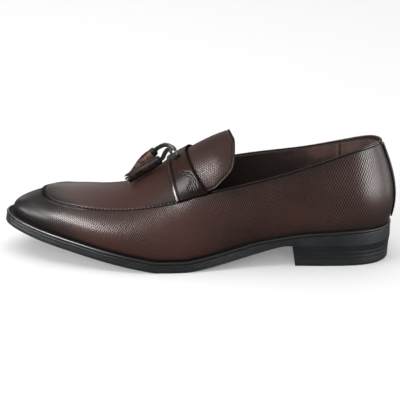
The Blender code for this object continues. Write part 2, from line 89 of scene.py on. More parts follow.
def ramp(x, start, end):
    """Smooth step from 0 at start to 1 at end: three t squared less two t cubed, t the share of the way."""
    t = np.clip((x - start) / (end - start), 0, 1)
    return t * t * (3 - 2 * t)


def bell(x, middle, reach):
    """Bell of height one: e to minus the square of the distance from its middle over its reach."""
    return np.exp(-(((x - middle) / reach) ** 2))


def unit(way):
    """Directions brought to length one."""
    return way / np.linalg.norm(way, axis=-1, keepdims=True)


def tread(along):
    """Height of the tread: powers of the distance past the flat, towards the toe and the waist."""
    toe_part = np.clip((along - TREAD_FRONT) / (TOE_TIP - TREAD_FRONT), 0, None)
    waist_part = np.clip((TREAD_BACK - along) / (TREAD_BACK - HEEL_BREAST), 0, None)
    waist = WAIST_RISE * waist_part**1.25
    arch = -np.log(np.exp(-2 * waist) + np.exp(-2 * HEEL_HEIGHT)) / 2
    return TOE_SPRING * toe_part**1.05 + np.where(along < TREAD_BACK, np.maximum(arch, 0), 0)


def sole_depth(along):
    """Thickness of the sole's edge: a bell taken off at the waist, a wedge eased in over the heel."""
    waist = bell(along, WAIST_MIDDLE, WAIST_LENGTH)
    seat = ramp(along, SEAT_FRONT, SEAT_BACK)
    return SOLE_EDGE - WAIST_THINNING * waist + SEAT_EXTRA * seat


def on_sole(plan, share, offset):
    """Point at a share of the sole's depth plus an offset: the tread's point moved square to its slope."""
    along = plan[..., 0]
    slope = tread(along + 0.5) - tread(along - 0.5)
    stretch = (share * sole_depth(along) + offset) / np.sqrt(1 + slope**2)
    return np.stack([along - slope * stretch, plan[..., 1], tread(along) + stretch], -1)


def outward_way(at):
    """Level unit direction square to the feather line: its tangent turned a quarter."""
    way = closed_curve(FEATHER[:, :2], at + 0.001) - closed_curve(FEATHER[:, :2], at - 0.001)
    return unit(np.stack([way[..., 1], -way[..., 0]], -1))


def plan_loop(at, outward):
    """Feather line from above, moved along its outward direction."""
    place = closed_curve(FEATHER, at)[..., :2]
    return place + np.asarray(outward)[..., None] * outward_way(at)


def edge_plan(at, inset):
    """Edge of the sole from above: the feather line moved out by its own reach, less an inset."""
    return plan_loop(at, closed_curve(FEATHER, at)[..., REACH] - inset)


def to_world(points):
    """Shoe measures to metres in the part's frame: along turned to -X, across and up kept."""
    points = np.asarray(points, float)
    shifted = [MID_ALONG - points[..., 0], points[..., 1] - MID_ACROSS, points[..., 2]]
    return np.stack(shifted, -1) * MM


def grid(rows, columns):
    """Each row's value and each column's value, at every place of a grid."""
    return np.meshgrid(rows, columns, indexing="ij")


def band_corners(rows, columns, wrap_rows=False, wrap_columns=False):
    """Quads of a grid kept row after row, with its first row or column again after its last if wrapped."""
    i, j = grid(np.arange(rows - 1 + wrap_rows), np.arange(columns - 1 + wrap_columns))
    up, right = (i + 1) % rows, (j + 1) % columns
    quads = [i * columns + j, up * columns + j, up * columns + right, i * columns + right]
    return np.stack(quads, -1).reshape(-1, 4)


def slab_corners(rows, count):
    """Faces of a band of loops round the foot, one above another; both ends are closed across it."""
    i = np.arange(1, count // 2 - 1)
    below = np.stack([i, i + 1, count - i - 1, count - i], -1).tolist()
    below += [(0, 1, count - 1), (count // 2 - 1, count // 2, count // 2 + 1)]
    above = [[corner + (rows - 1) * count for corner in face[::-1]] for face in below]
    return [*band_corners(rows, count, wrap_columns=True), *below, *above]


def put(name, data):
    """Object of this name in the scene, at the origin."""
    thing = bpy.data.objects.new(name, data)
    bpy.context.collection.objects.link(thing)
    return thing


def add_piece(name, points, faces, material, node, uv=None, values=None):
    """Object from points in shoe measures and faces turned to face out of the volume that they close."""
    points = to_world(np.asarray(points).reshape(-1, 3))
    faces = [tuple(int(c) for c in face) for face in faces]
    fan = np.array([(f[0], f[k], f[k + 1]) for f in faces for k in range(1, len(f) - 1)])
    a, b, c = points[fan[:, 0]], points[fan[:, 1]], points[fan[:, 2]]
    if np.sum(a * np.cross(b, c)) < 0:
        faces = [face[::-1] for face in faces]
    mesh = bpy.data.meshes.new(name)
    mesh.from_pydata(points.tolist(), [], faces)
    corner = np.concatenate([np.array(face) for face in faces])
    if uv is not None:
        uv = np.asarray(uv).reshape(-1, 2)[corner]
        mesh.uv_layers.new(name="UVMap").data.foreach_set("uv", uv.ravel())
    for key, value in (values or {}).items():
        painted = mesh.attributes.new(key, "FLOAT", "POINT")
        painted.data.foreach_set("value", np.asarray(value, float).ravel())
    mesh.materials.append(material)
    mesh.shade_smooth()
    mesh.set_sharp_from_angle(angle=SHARP_EDGE)
    mesh.validate()
    piece = put(name, mesh)
    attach(piece, "root")
    if node:
        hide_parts(node)
    return piece


class Wire:
    """A socket in a material's node tree; sums and products of wires and numbers add Math nodes."""

    def __init__(self, tree, socket=None):
        self.tree, self.socket = tree, socket

    def node(self, kind, settings=None, inputs=None, output=0):
        """Adds a node: its settings first, then the values or wires of its sockets; gives one output."""
        made = self.tree.nodes.new("ShaderNode" + kind)
        for key, value in (settings or {}).items():
            setattr(made, key, value)
        for key, value in (inputs or {}).items():
            if isinstance(value, Wire):
                self.tree.links.new(value.socket, made.inputs[key])
            else:
                made.inputs[key].default_value = value
        return Wire(self.tree, made.outputs[output])

    def math(self, operation, *others):
        """Math node with this wire as its first value."""
        return self.node("Math", {"operation": operation}, dict(enumerate((self, *others))))

    def __add__(self, other):
        return self.math("ADD", other)

    def __sub__(self, other):
        return self.math("SUBTRACT", other)

    def __rsub__(self, other):
        return self * -1 + other

    def __mul__(self, other):
        return self.math("MULTIPLY", other)

    __radd__, __rmul__ = __add__, __mul__

    def mix(self, low, high):
        """Colour from low to high, with this wire as the share of high."""
        return self.node("Mix", {"data_type": "RGBA"}, {0: self, 6: low, 7: high}, 2)

    def between(self, low, high):
        """0 below low, 1 above high and a smooth step between them."""
        return self.node("MapRange", {"interpolation_type": "SMOOTHSTEP"}, {0: self, 1: low, 2: high})


class Finish:
    """Material with one Principled shader; fixed values sit on the shader's own sockets."""

    def __init__(self, name, **fixed):
        self.material = bpy.data.materials.new(name)
        self.material.use_nodes = True
        self.shader = self.material.node_tree.nodes["Principled BSDF"]
        self.pen = Wire(self.material.node_tree)
        for key, value in fixed.items():
            self.shader.inputs[key.replace("_", " ").title().replace("Ior", "IOR")].default_value = value

    def feed(self, socket, wire):
        """Links a wire to one of the shader's sockets."""
        self.pen.tree.links.new(wire.socket, self.shader.inputs[socket])

    def place(self):
        """Object coordinates."""
        return self.pen.node("TexCoord", output="Object")

    def noise(self, scale, detail=3.0, roughness=0.55):
        """Cloudy value from 0 to 1, in patches of one over scale metres."""
        sockets = {"Vector": self.place(), "Scale": scale, "Detail": detail, "Roughness": roughness}
        return self.pen.node("TexNoise", None, sockets)

    def value(self, name):
        """Value painted on the mesh under a name."""
        return self.pen.node("Attribute", {"attribute_name": name}, output="Fac")

    def relief(self, height, depth):
        """Bump of a height from 0 to 1 that stands for a depth in metres."""
        bump = self.pen.node("Bump", None, {"Strength": 1.0, "Distance": depth, "Height": height})
        self.feed("Normal", bump)


def dressed_rubber(name, dark, pale, roughness):
    """Black edge dressing over rubber or leather: cloudy, fine pebble, dull scuffs, and paler at the toe as a
    painted reflection of the white floor.
    """
    finish = Finish(name, specular_ior_level=0.3)
    cloud = finish.noise(55.0)
    scuff = finish.noise(420.0, 4.0).between(0.52, 0.72)
    # Paler towards the toe: a painted reflection of the white floor in the edge of the sole.
    toe = (finish.pen.node("SeparateXYZ", None, {0: finish.place()}) * -1).between(0.05, 0.15)
    finish.feed("Base Color", (cloud * 0.7 + scuff * 0.3 + toe * 0.2).between(0.25, 1.3).mix(dark, pale))
    finish.feed("Roughness", roughness - 0.06 + cloud * 0.08 + scuff * 0.14)
    finish.relief(finish.noise(1600.0, 2.0), 0.00006)
    return finish.material


OUTSOLE_RUBBER = dressed_rubber("outsole rubber", (0.0095, 0.0105, 0.012, 1), (0.038, 0.04, 0.043, 1), 0.44)
ring = np.linspace(0, ROUND, 360, endpoint=False)
along = closed_curve(FEATHER, ring)[:, ALONG]
toe_share = ramp(along, BLEND_BACK, BLEND_FRONT)
loops = [on_sole(edge_plan(ring, toe_share * front + (1 - toe_share) * seat), share, offset)
         for front, seat, share, offset in SOLE_SIDE]
outsole = add_piece("outsole_slab", loops, slab_corners(len(loops), len(ring)), OUTSOLE_RUBBER, "outsole")


# Welt. A strip of leather laid on the edge of the sole, its outer edge rolled over and polished.
# It is sewn round the feather of the upper; in front a narrow ledge is left between them, painted black as
# the shade in the gap.
# Each row of its section is an inset from the sole's edge and two heights, at the toe and the heel.
WELT_SIDE = [
    (5.7, -2.2, -2.2), (2.0, -2.2, -2.2), (0.35, -2.2, -2.2), (-0.1, -2.0, -2.0), (-0.3, -1.5, -1.5),
    (-0.3, -0.95, -0.9), (-0.15, -0.45, -0.4), (0.2, -0.12, -0.15), (0.65, 0.0, -0.05), (1.1, -0.12, 0.0),
    (1.35, -0.6, 0.0), (1.7, -1.1, 0.0), (5.7, -1.1, 0.0),
]
LEDGE_INSET, RIM_POLISH, RIM_TIP = 1.3, (190.0, 250.0), (284.0, 298.0)
finish = Finish("welt leather", specular_ior_level=0.2, coat_roughness=0.25)
rim = finish.value("rim")
wear = finish.noise(900.0).between(0.5, 0.75) * 0.7 + 0.3
# The ledge inside the rolled rim is painted near black: painted shade in the gap between the welt and the
# upper.
finish.feed("Base Color", (wear * rim).mix((0.003, 0.003, 0.0032, 1), (0.03, 0.029, 0.028, 1)))
finish.feed("Roughness", 0.9 - rim * 0.5)
finish.feed("Coat Weight", finish.value("gloss"))
finish.relief(finish.noise(1500.0), 0.00008)
loops = [on_sole(edge_plan(ring, inset), 1, toe_share * front + (1 - toe_share) * back)
         for inset, front, back in WELT_SIDE]
faces = band_corners(len(loops), len(ring), wrap_rows=True, wrap_columns=True)
rolled = np.array([[inset < LEDGE_INSET] for inset, *_ in WELT_SIDE])
forward = ramp(along, *RIM_POLISH) * (1 - 0.7 * ramp(along, *RIM_TIP))
# The rim value is 0 on the ledge, which the colour paints black as shade.
polish = {"gloss": rolled * (0.05 + 0.95 * forward), "rim": rolled * np.ones(len(ring))}
welt = add_piece("welt_strip", loops, faces, finish.material, "welt", None, polish)


# Heel. Leather lifts nailed under the seat and dressed black, so that only faint lines show
# where they meet, on a rubber top piece that stands on the floor.
BREAST_LEAN, BREAST_HOLLOW, HEEL_JOINT = 2.5, 2.4, 0.03
HEEL_ROWS, RIM_POINTS, BREAST_POINTS = 3.8, 120, 24


def heel_loop(inset, share, height=None):
    """Heel from above: the sole's edge, inset, cut by a hollow breast line; level, or along the seat."""
    breast = HEEL_BREAST - BREAST_LEAN * (1 - share)
    at = np.linspace(-HEEL_ROWS, HEEL_ROWS, 400)
    edge, half = edge_plan(at, inset)[:, 0], len(at) // 2
    lateral = np.interp(breast, edge[half:], at[half:])
    medial = np.interp(breast, edge[:half][::-1], at[:half][::-1])
    rim = edge_plan(np.linspace(lateral, medial, RIM_POINTS), inset)
    part = np.linspace(0, 1, BREAST_POINTS + 2)[1:-1, None]
    front = rim[-1] + part * (rim[0] - rim[-1])
    front[:, 0] -= BREAST_HOLLOW * 4 * (part * (1 - part))[:, 0]
    plan = np.concatenate([rim, front])
    up = tread(plan[:, 0]) - HEEL_JOINT if height is None else np.full(len(plan), height)
    return np.column_stack([plan, up])


def tube_corners(rows, count):
    """Faces of a band of closed loops kept one after another, with a flat face at both ends."""
    ends = [range(count), range(rows * count - 1, (rows - 1) * count - 1, -1)]
    return [*band_corners(rows, count, wrap_columns=True).tolist(), *map(list, ends)]


def heel_solid(name, levels, material, node):
    """Loops of the heel at rising levels, closed by flat ends."""
    loops = [heel_loop(*level) for level in levels]
    return add_piece(name, loops, tube_corners(len(loops), len(loops[0])), material, node)


TOP_PIECE_RUBBER = dressed_rubber(
    "top piece rubber", (0.0095, 0.0105, 0.012, 1), (0.021, 0.023, 0.0255, 1), 0.5)
STACKED_LEATHER = dressed_rubber(
    "stacked leather", (0.008, 0.009, 0.0105, 1), (0.018, 0.0195, 0.022, 1), 0.4)
heel_solid("top_piece", [
    (2.4, 0.0, 0.0), (1.9, 0.02, 0.2), (1.5, 0.05, 0.8), (1.33, 0.2, 3.0), (1.2, 0.35, 5.77),
], TOP_PIECE_RUBBER, "heel_top_piece")
heel_solid("heel_lifts", [
    (1.2, 0.35, 5.8), (0.99, 0.52, 8.75), (1.01, 0.53, 8.85), (1.01, 0.535, 8.95), (0.98, 0.54, 9.05),
    (0.78, 0.7, 11.65), (0.8, 0.71, 11.75), (0.8, 0.715, 11.85), (0.77, 0.72, 11.95), (0.03, 1.0, None),
], STACKED_LEATHER, "heel_stack")


# Insole. A leather board under a thin leather sock, cut to the inside of the upper and laid on
# the sole; brown, matt and a little cloudy.
WALL, GAP = 2.0, 0.3
SOCK_SIDE = [(0.0, 0.3), (0.0, 2.2), (0.15, 2.6), (0.5, 2.9), (1.1, 3.0), (9.0, 3.0)]
finish = Finish("sock leather", roughness=0.6)
cloud = finish.noise(40.0)
finish.feed("Base Color", cloud.between(0.3, 0.7).mix((0.05, 0.026, 0.019, 1), (0.085, 0.047, 0.034, 1)))
finish.relief(finish.noise(1300.0), 0.0001)
loops = [on_sole(plan_loop(ring, -(WALL + 2 * GAP + inset)), 1, lift) for inset, lift in SOCK_SIDE]
sock = add_piece("sock", loops, slab_corners(len(loops), len(ring)), finish.material, "insole")


# Vamp and quarters. One length of embossed brown calf, lasted round the foot from the feather up
# to the apron seam in front and to the collar behind; the toe is burnished almost black.
# Its upper edge is rolled into a ridge where the apron is sewn in.
FLARE, RISE, CROWN, DROP = range(3, 7)
SIDE = np.array([
    (13.2, 0.0, 90.8, 6.5, 20, 10.5, 25), (18.6, -13.5, 90.8, 6.5, 20, 9.5, 25),
    (37.0, -25.0, 87.5, 6.0, 20, 8.5, 24), (73.0, -30.0, 76.1, 5.0, 18, 6.0, 19),
    (109.0, -32.2, 65.8, 4.0, 16, 6.0, 16), (145.0, -34.5, 57.4, 4.0, 15, 9.0, 16),
    (168.0, -34.3, 50.6, 4.0, 14, 12.0, 13), (192.0, -32.5, 45.2, 4.0, 13, 14.0, 10),
    (217.0, -29.0, 42.2, 3.5, 11, 12.0, 7), (241.0, -24.5, 42.0, 3.0, 9, 9.5, 5),
    (259.5, -18.0, 43.3, 2.5, 8, 10.0, 4.5), (272.5, -8.5, 45.3, 2.3, 8, 11.2, 3.5),
    (275.3, 3.8, 47.7, 2.0, 8, 17.0, 4.8), (273.6, 16.0, 46.7, 2.3, 8, 11.4, 5.8),
    (260.0, 23.0, 47.1, 2.5, 9, 10.6, 4.5), (241.0, 27.5, 44.9, 3.0, 10, 11.0, 6),
    (217.0, 31.0, 45.4, 3.0, 13, 11.0, 8), (192.0, 33.0, 49.5, 3.0, 16, 9.0, 13),
    (169.0, 34.0, 56.5, 4.0, 18, 7.0, 17), (147.0, 33.5, 63.6, 5.0, 19, 5.0, 20),
    (109.0, 32.0, 70.9, 6.0, 20, 4.0, 21), (73.0, 30.2, 76.3, 6.0, 20, 5.0, 22),
    (37.0, 25.5, 84.2, 6.0, 20, 8.5, 24), (18.6, 13.5, 89.6, 6.5, 20, 9.5, 25),
])
TOE_ROW, THROAT_ROWS = 12, 7
LEATHER, RIDGE = 1.3, 1.1
UP = np.array([0.0, 0.0, 1.0])
INSIDE = np.array([150.0, 0.0, 20.0])
EMBOSS_PITCH, EMBOSS_TURN = 1.52, np.radians(28)


def cubic(p0, p1, p2, p3, t):
    """Point at t on the cubic curve from p0 to p3 with pulls p1 and p2."""
    t = t[..., None]
    s = 1 - t
    return s**3 * p0 + 3 * s**2 * t * p1 + 3 * s * t**2 * p2 + t**3 * p3


def wall(at, t):
    """Side of the upper: cubic from the feather to the top edge, pulled out and up, then out and down."""
    row, side = closed_curve(FEATHER, at), closed_curve(SIDE, at)
    out = np.concatenate([outward_way(at), np.zeros(at.shape + (1,))], -1)
    foot = on_sole(row[..., :2], 1, GAP)
    low = foot + side[..., [FLARE]] * out + side[..., [RISE]] * UP
    high = side[..., :3] + side[..., [CROWN]] * out - side[..., [DROP]] * UP
    return cubic(foot, low, high, side[..., :3], t)


def facing(surface, u, v):
    """Unit direction square to a surface, away from the inside of the shoe."""
    step = 0.002
    du = surface(u + step, v) - surface(u - step, v)
    dv = surface(u, v + step) - surface(u, v - step)
    normal = unit(np.cross(du, dv))
    return normal * np.sign(np.sum(normal * (surface(u, v) - INSIDE), -1, keepdims=True))


def running_length(points, axis):
    """Length along a grid's lines in one direction, from their start: the sum of its steps."""
    steps = np.linalg.norm(np.diff(points, axis=axis), axis=-1)
    start = np.zeros_like(np.take(steps, [0], axis=axis))
    return np.concatenate([start, np.cumsum(steps, axis=axis)], axis=axis)


def nearest(points, line):
    """Distance from each point to the nearest point of a line."""
    flat = points.reshape(-1, 3)
    square = np.sum(flat**2, 1)[:, None] + np.sum(line**2, 1) - 2 * flat @ line.T
    return np.sqrt(np.maximum(square.min(1), 0)).reshape(points.shape[:-1])


def shell(name, skin, out, above, below, material, node, uv, values, wrap=False):
    """Closed piece: a skin raised to one height, and to a lower one and turned round, with strips between."""
    rows, columns = skin.shape[:2]
    count = rows * columns
    quads = band_corners(rows, columns, wrap_rows=wrap)
    i, j = np.arange(rows - 1 + wrap), np.arange(columns - 1)
    near, far = i * columns, (i + 1) % rows * columns
    edges = [(far, near), (near + columns - 1, far + columns - 1)]
    if not wrap:
        last = (rows - 1) * columns
        edges += [(j, j + 1), (last + j + 1, last + j)]
    strips = [np.stack([a, b, b + count, a + count], -1) for a, b in edges]
    faces = np.concatenate([quads, quads[:, ::-1] + count, *strips])
    points = [skin + np.asarray(height)[..., None] * out for height in (above, below)]
    both = {key: np.broadcast_to(value, (2, rows, columns)) for key, value in values.items()}
    return add_piece(name, points, faces, material, node, [np.stack(uv, -1)] * 2, both)


# Embossed calf: brown darkened by the painted burnish and painted shade, with cloudy dye and two
# crossing rows of ribs. The ribs are cosines of the UV map's millimetres, turned either way; their hollows
# are painted darker, as painted shade, and hold less polish, which is a coat over the leather.
finish = Finish("embossed calf", coat_roughness=0.32, specular_ior_level=0.05, roughness=0.55)
uv = finish.pen.node("UVMap", {"uv_map": "UVMap"})
u, v = (finish.pen.node("SeparateXYZ", None, {0: uv}, axis) for axis in range(2))
wave = 2 * np.pi / EMBOSS_PITCH
c, s = wave * np.cos(EMBOSS_TURN), wave * np.sin(EMBOSS_TURN)
ribs = (u * c + v * s).math("COSINE") * 0.27 + (u * c - v * s).math("COSINE") * 0.23
cloud, blotch = finish.noise(38.0, 4.0), finish.noise(150.0)
pressed = finish.noise(60.0, 2.0).between(0.3, 0.7)
relief = ribs * finish.value("emboss") * (pressed * 0.9 + 0.5)
pebble = finish.noise(750.0, 2.0) - 0.5
dye = (cloud - 0.5) * 0.4 + (blotch - 0.5) * 0.2 + pebble * 0.4
# Colour darkens in the rib hollows: painted shade of the emboss.
tone = finish.value("burnish_and_shade") + dye - relief * 2.4 - finish.value("emboss") * 0.1
finish.feed("Base Color", tone.between(-0.1, 1.1).mix((0.047, 0.019, 0.0145, 1), (0.0085, 0.0062, 0.0056, 1)))
polish = (relief * 3.2 + cloud * 0.2 - pebble * 0.5 + 0.4).between(-0.2, 1.2)
finish.feed("Coat Weight", polish * finish.value("gloss"))
finish.relief(relief + finish.noise(2600.0, 2.0) * 0.08, 0.0004)
BROWN_CALF = finish.material
seam_rows = np.linspace(-THROAT_ROWS, THROAT_ROWS, 1400)
SEAM = wall(TOE_ROW + seam_rows, np.ones_like(seam_rows))
at, t = grid(np.arange(0, ROUND, 1 / 14), 1 - (1 - np.linspace(0, 1, 48)) ** 1.7)
skin = wall(at, t)
along, across, up = np.moveaxis(skin, -1, 0)
out = facing(wall, at, np.clip(t, 0.003, 0.997))
back, rise, off_seam = np.abs(at - TOE_ROW), running_length(skin, 1), nearest(skin, SEAM)
sewn = ramp(back, THROAT_ROWS, THROAT_ROWS - 1.2)
fold = (0.05 + 0.95 * ramp(back, 3.4, 2.4)) * bell(off_seam, 0.8, 0.6)
swell = sewn * (RIDGE * fold - 0.4 * bell(off_seam, 0, 0.4))
coarse, half = 1 - 0.2 * ramp(along, 110, 50), skin.shape[1] // 2
run = np.cumsum(coarse[:, half] * np.gradient(running_length(skin, 0)[:, half]))[:, None]
under_strap = bell(along, 160, 22) * bell(off_seam, 0, 9) * (across < 0)
# Dye and painted shade: black at the toe and along the edges, dark over the quarters, with one paler patch.
burnish_and_shade = 0.15 + 0.9 * ramp(along, 228, 280) + 0.38 * ramp(along, 165, 120)
# Along the foot: edge dressing and painted shade of the crease against the welt; along the apron seam: dye
# and painted shade in the groove.
burnish_and_shade += 0.25 * np.exp(-rise / 7) + 0.8 * bell(rise, 0, 1.2) + 0.6 * np.exp(-off_seam / 5) * sewn
burnish_and_shade += 0.35 * np.exp(-(rise[:, -1:] - rise) / 9) * (1 - sewn)
burnish_and_shade -= 0.2 * bell(along, 70, 45) * bell(up, 42, 9)
# Ribs: deep on the vamp, fainter on the quarters but for three patches, none at the toe.
emboss = 0.22 + 0.78 * ramp(along, 165, 195) + 0.65 * bell(along, 37, 14)
emboss += 0.6 * bell(along, 140, 24) * bell(up, 53, 8) + 0.5 * bell(along, 98, 12) * bell(up, 52, 9)
emboss = np.clip(emboss, 0, 1) * (0.45 + 0.55 * ramp(rise, 5, 17)) * (1 - 0.8 * ramp(along, 27, 15))
emboss = (emboss + 0.7 * under_strap) * (1 - 0.95 * ramp(along, 258, 274))
emboss *= 1 - np.exp(-off_seam / 2) * sewn
# Polish: full round the toe and the heel, half between them, dull along the seam.
gloss = 1 - 0.58 * ramp(along, 252, 207) + 0.57 * ramp(along, 75, 50)
gloss -= 0.65 * ramp(along, 250, 270) * ramp(t, 0.45, 0.8)
gloss = gloss * (1 - 0.8 * np.exp(-off_seam / 4) * sewn) + 0.5 * under_strap
vamp = shell(
    "vamp_and_quarters", skin, out, swell, -LEATHER, BROWN_CALF, "upper",
    (run + 0 * rise, rise * coarse), {"burnish_and_shade": burnish_and_shade, "gloss": gloss, "emboss": emboss}, wrap=True)


# Apron. The plug of the same calf that covers the top of the foot; its edge is turned down into
# the groove inside the ridge of the vamp and sewn there, and its back end lies under the strap.
CREST = np.array([
    (275.3, 3.8, 47.7), (270.0, 3.5, 50.6), (259.7, 3.0, 50.1), (242.0, 2.5, 50.9),
    (217.5, 2.5, 49.9), (199.0, 2.5, 57.4), (179.0, 3.0, 71.2), (162.8, 3.0, 81.2),
])
CREST_ROUNDNESS, GROOVE, APRON_START, APRON_END = 0.22, 1.0, 0.015, 6.5


def open_curve(rows, at):
    """Smooth curve from the first row to the last: natural cubic spline read at row numbers."""
    count = len(rows)
    blend = np.zeros((count + 2, count + 2))
    blend[0, :3] = blend[-1, -3:] = (1, -2, 1)
    blend[1:-1] = sum(w * np.eye(count, count + 2, k) for k, w in enumerate((1, 4, 1))) / 6
    control = np.linalg.solve(blend, np.pad(rows, ((1, 1), (0, 0))))
    first = np.clip(np.floor(at).astype(int), 0, count - 2)
    weights = spline_weights(at - first)
    return sum(w * control[first + k] for k, w in enumerate(weights))


def arch_over(left, crest, right, r):
    """Cubic from the left edge to the right one, pulled so that its middle is the crest."""
    pull = (crest - (left + right) / 2) * 4 / 3
    lean = CREST_ROUNDNESS * (right - left)
    return cubic(left, left + pull + lean, right + pull - lean, right, r)


def apron(k, r):
    """Top of the foot: arches from the lateral to the medial seam, k rows back from the toe."""
    edge = np.ones_like(k)
    return arch_over(wall(TOE_ROW - k, edge), open_curve(CREST, k), wall(TOE_ROW + k, edge), r)


def crowded(count):
    """Shares from 0 to 1, closer together towards both: half of one less a cosine."""
    return 0.5 - 0.5 * np.cos(np.linspace(0, np.pi, count))


def flat_map(skin):
    """Millimetres of a skin laid flat: length along its middle line, and girth to either side of it."""
    middle = slice(skin.shape[1] // 2, skin.shape[1] // 2 + 1)
    run, girth = running_length(skin, 0)[:, middle], running_length(skin, 1)
    return run + 0 * girth, girth - girth[:, middle]


k, r = grid(APRON_START + (APRON_END - APRON_START) * np.linspace(0, 1, 110) ** 1.5, crowded(49))
skin = apron(k, r)
along, off_seam = skin[..., 0], nearest(skin, SEAM)
out = facing(apron, np.clip(k, 0.05, None), np.clip(r, 0.004, 0.996))
dip = -GROOVE * bell(off_seam, 0.45, 0.75) * (0.5 + 0.5 * ramp(k, 5.2, 3.2))
# Black in the groove along the seam, strongest at the front: painted shade of the dip. Also darker towards
# the toe and towards the back.
front_edge = ramp(k, 3.5, 1.5) * bell(off_seam, 0, 4.5)
burnish_and_shade = front_edge + 0.6 * np.exp(-off_seam / 3.5)
burnish_and_shade += 0.7 * ramp(along, 235, 280) + 0.55 * ramp(along, 205, 175)
gloss = (0.8 - 0.76 * ramp(k, 2.5, 4.5)) * (1 - 0.8 * front_edge)
emboss = 0.15 * (1 - np.exp(-off_seam / 2.5)) * (1 - 0.8 * ramp(along, 240, 265))
apron_piece = shell(
    "apron", skin, out, dip, -LEATHER, BROWN_CALF, "upper", flat_map(skin),
    {"burnish_and_shade": burnish_and_shade, "gloss": gloss, "emboss": emboss})


# Apron stitches. Waxed black thread in the groove, a short stitch at a time, that holds the
# apron to the ridge of the vamp on both sides of the foot.
STITCH_PITCH, STITCH_LENGTH, THREAD = 3.1, 2.0, 0.6
SEWN_FROM, SEWN_TO, SEWN_IN, SEWN_UP = 2.9, 6.05, 0.35, 0.3


def turns(count):
    """Angles evenly spaced over a full turn."""
    return np.linspace(0, 2 * np.pi, count, endpoint=False)


def copies(faces, size, count):
    """Faces of like bodies, each of so many points: those of the first, with their numbers moved on."""
    return [[corner + size * n for corner in face] for n in range(count) for face in faces]


def stitch_row(name, line, ups, length, radius):
    """Threads along a line, all at once: each a blunt bead whose radius follows a power of a sine."""
    way = unit(np.gradient(line, axis=0))
    ups = np.broadcast_to(ups, way.shape)
    lengthwise, turn = grid(np.linspace(0.12, np.pi - 0.12, 7), turns(8))
    girth = radius * np.sin(lengthwise) ** 0.6
    bead = [-np.cos(lengthwise) * length / 2, girth * np.cos(turn), girth * np.sin(turn)]
    points = line[:, None, None] + sum(
        b[..., None] * d[:, None, None] for b, d in zip(bead, (way, np.cross(way, ups), ups)))
    faces = copies(tube_corners(*turn.shape), turn.size, len(line))
    return add_piece(name, points, faces, WAXED_THREAD, None)


def spaced(line, pitch):
    """Places an even pitch apart along a line, read off its running length."""
    length = running_length(line, 0)
    places = np.arange(pitch / 2, length[-1], pitch)
    return np.stack([np.interp(places, length, line[:, axis]) for axis in range(3)], -1)


finish = Finish("waxed thread", roughness=0.5)
finish.feed("Base Color", finish.noise(2500.0, 1.0).mix((0.006, 0.005, 0.005, 1), (0.03, 0.024, 0.022, 1)))
WAXED_THREAD = finish.material
rows = np.linspace(SEWN_FROM, SEWN_TO, 400)
for side, name in ((-1, "lateral"), (1, "medial")):
    seam = wall(TOE_ROW + side * rows, np.ones_like(rows))
    inward = unit(apron(rows, np.full_like(rows, 0.5 + side * 0.475)) - seam)
    places = spaced(seam + SEWN_IN * inward + SEWN_UP * UP, STITCH_PITCH)
    piece = stitch_row(f"apron_stitches_{name}", places, UP, STITCH_LENGTH, THREAD)


# Lining. Thin brown suede-finished leather pasted to the inside of the calf, with a seam in each
# quarter in front of the heel; it shows through the collar.
LINING, LINING_SEAM, ROW_LENGTH = 0.55, 2.2, 30.0
finish = Finish("lining", roughness=0.8, sheen_weight=0.2, sheen_roughness=0.5, specular_ior_level=0.2)
cloud, nap = finish.noise(70.0, 5.0, roughness=0.65), finish.noise(1500.0)
pale = finish.value("pale")
tone = (cloud * (pale * 1.6 + 1.0) + nap * 0.3 + pale * 0.6).between(0.55, 2.7)
finish.feed("Base Color", tone.mix((0.017, 0.0095, 0.008, 1), (0.15, 0.086, 0.07, 1)))
finish.relief(nap * 0.6 + cloud * 0.4, 0.0002)
at, t = grid(np.arange(0, ROUND, 1 / 30), np.linspace(0.0, 0.995, 25))
skin, out = wall(at, t), facing(wall, at, np.clip(t, 0.003, 0.997))
along, _, up = np.moveaxis(skin, -1, 0)
from_seam = np.minimum(np.abs(at - LINING_SEAM), np.abs(ROUND - at - LINING_SEAM)) * ROW_LENGTH
pucker = 0.12 * np.sin(along / 5.0 + up / 9.0) + 0.35 * bell(from_seam, 0, 2.2)
depth = LEATHER + 0.1
# Paler towards the heel and darker again at the very back; darker below the collar as painted shade deeper
# inside the shoe. The seam is a dark line with paler flanks.
heel_paler_and_depth_shade = ramp(along, 100, 50) - 0.35 * ramp(along, 38, 18) - 0.4 * ramp(t, 0.93, 0.79)
seam = 0.5 * bell(from_seam, 1.6, 0.9) - 0.9 * bell(from_seam, 0, 0.8)
lining = shell(
    "lining", skin, out, -depth, -(depth + LINING + pucker), finish.material, "upper",
    (at, t), {"pale": heel_paler_and_depth_shade + seam}, wrap=True)
k, r = grid(np.linspace(0.3, APRON_END, 30), np.linspace(0.03, 0.97, 21))
skin, out = apron(k, r), facing(apron, k, r)
lining = shell(
    "apron_lining", skin, out, -depth, -(depth + LINING), finish.material, "upper", (k, r), {"pale": 0.0})


